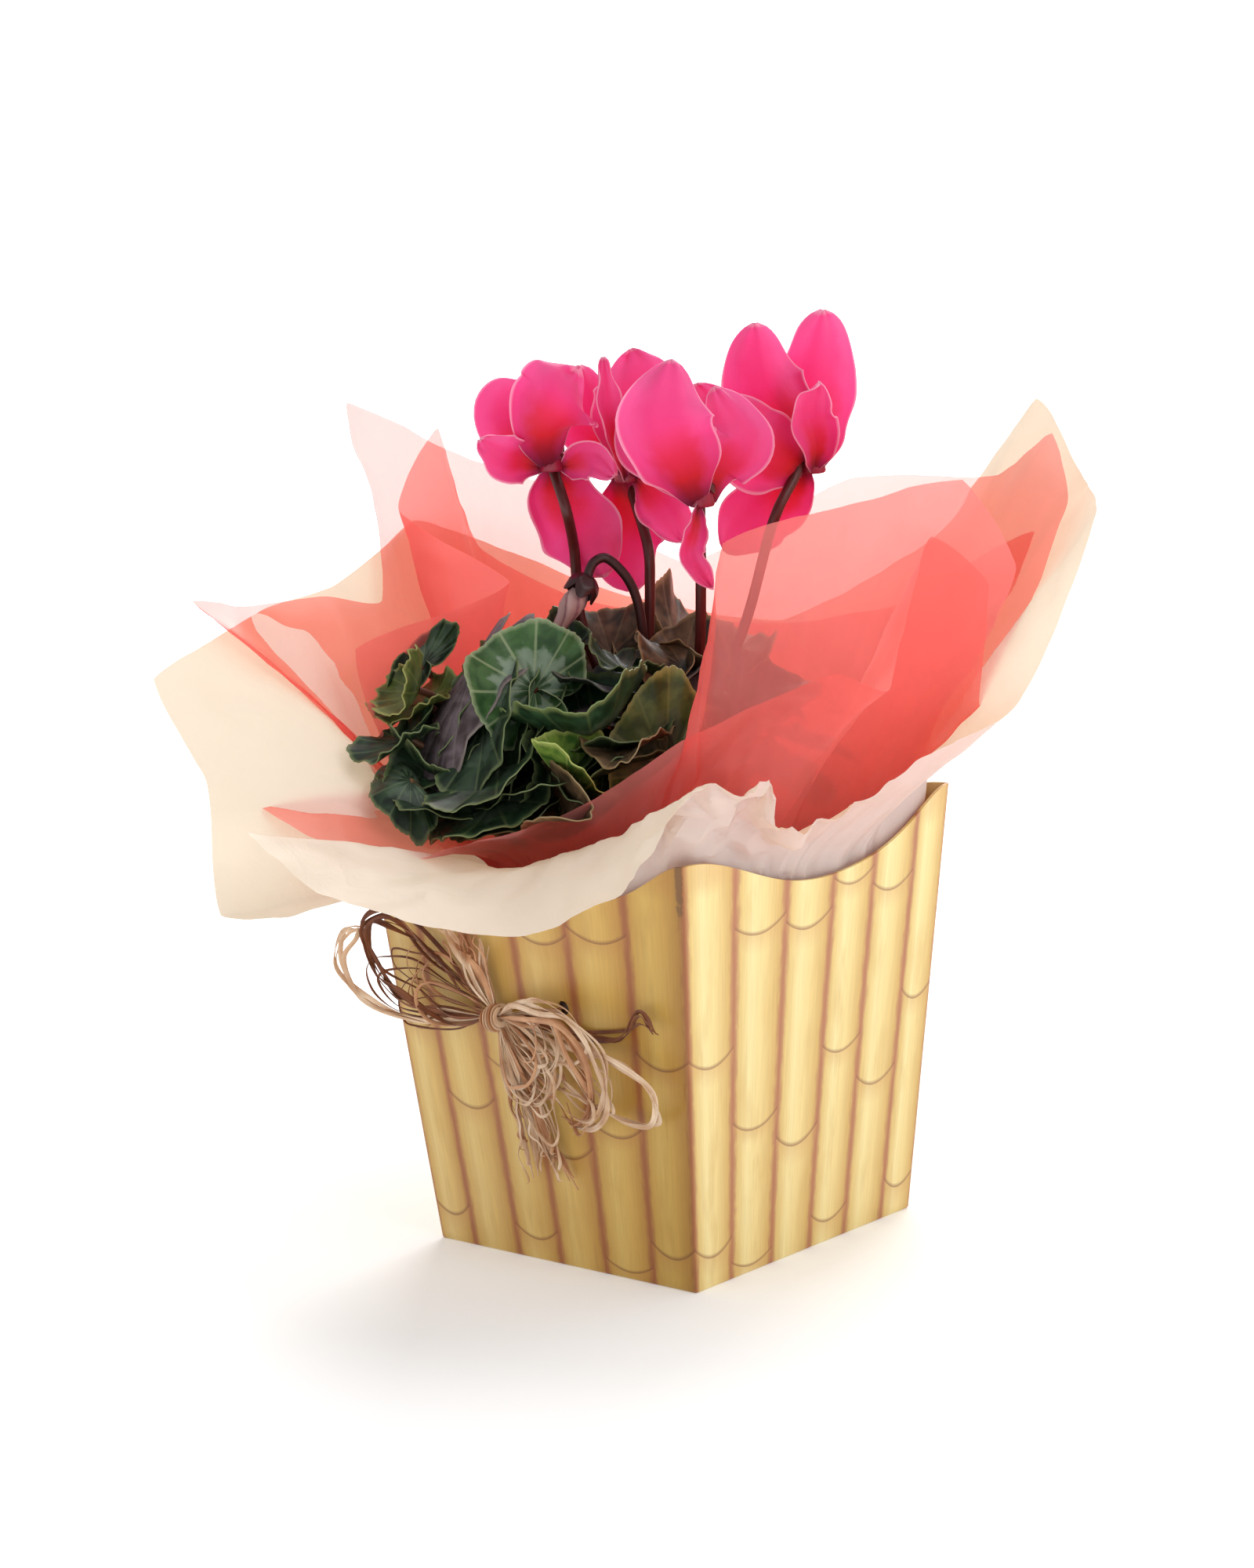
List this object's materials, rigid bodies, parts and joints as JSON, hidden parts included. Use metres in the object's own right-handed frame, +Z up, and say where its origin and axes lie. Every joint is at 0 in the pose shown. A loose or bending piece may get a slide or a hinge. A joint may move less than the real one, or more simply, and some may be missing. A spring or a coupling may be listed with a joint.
{
  "type": "potted cyclamen",
  "caption": "Flowering cyclamen in a nursery pot, standing in a flared card carrier box with gathered cream paper, coral film and a raffia bow.",
  "frame": {"origin": "middle of the underside of the card box, on the surface it stands on", "axes": "+Z up along the box and pot; -Y towards the side of the box that carries the raffia bow; +X towards the side to its right"},
  "size_m": [0.2466, 0.3404, 0.3262],
  "materials": {
    "card": "satin",
    "raffia": "matte",
    "cream_paper": "matte",
    "coral_film": "gloss",
    "pot": "matte",
    "soil": "matte",
    "corm": "matte",
    "leaf": "satin",
    "petal": "satin",
    "stem": "satin"
  },
  "bodies": {
    "root": {"card_box": "card", "raffia_bow": "raffia", "cream_wrap": "cream_paper", "coral_wrap_outer": "coral_film", "coral_wrap_inner": "coral_film", "grow_pot": "pot", "potting_soil": "soil", "corm": "corm", "bloom_stem_1": "stem", "bloom_1": "petal", "bloom_stem_2": "stem", "bloom_2": "petal", "bloom_stem_3": "stem", "bloom_3": "petal", "bloom_stem_4": "stem", "bloom_4": "petal", "bud_stem": "stem", "bud": "petal", "leaf_01": "leaf", "leaf_02": "leaf", "leaf_03": "leaf", "leaf_04": "leaf", "leaf_05": "leaf", "leaf_06": "leaf", "leaf_07": "leaf", "leaf_08": "leaf", "leaf_09": "leaf", "leaf_10": "leaf", "leaf_11": "leaf", "leaf_12": "leaf", "leaf_13": "leaf", "leaf_14": "leaf", "leaf_15": "leaf", "leaf_16": "leaf", "leaf_17": "leaf", "leaf_18": "leaf", "leaf_19": "leaf", "leaf_20": "leaf", "leaf_21": "leaf", "leaf_22": "leaf", "leaf_23": "leaf", "leaf_24": "leaf", "leaf_25": "leaf", "leaf_26": "leaf", "leaf_27": "leaf", "leaf_28": "leaf", "leaf_29": "leaf", "leaf_30": "leaf", "leaf_31": "leaf", "leaf_32": "leaf", "leaf_33": "leaf", "leaf_34": "leaf", "leaf_35": "leaf"}
  },
  "joints": []
}
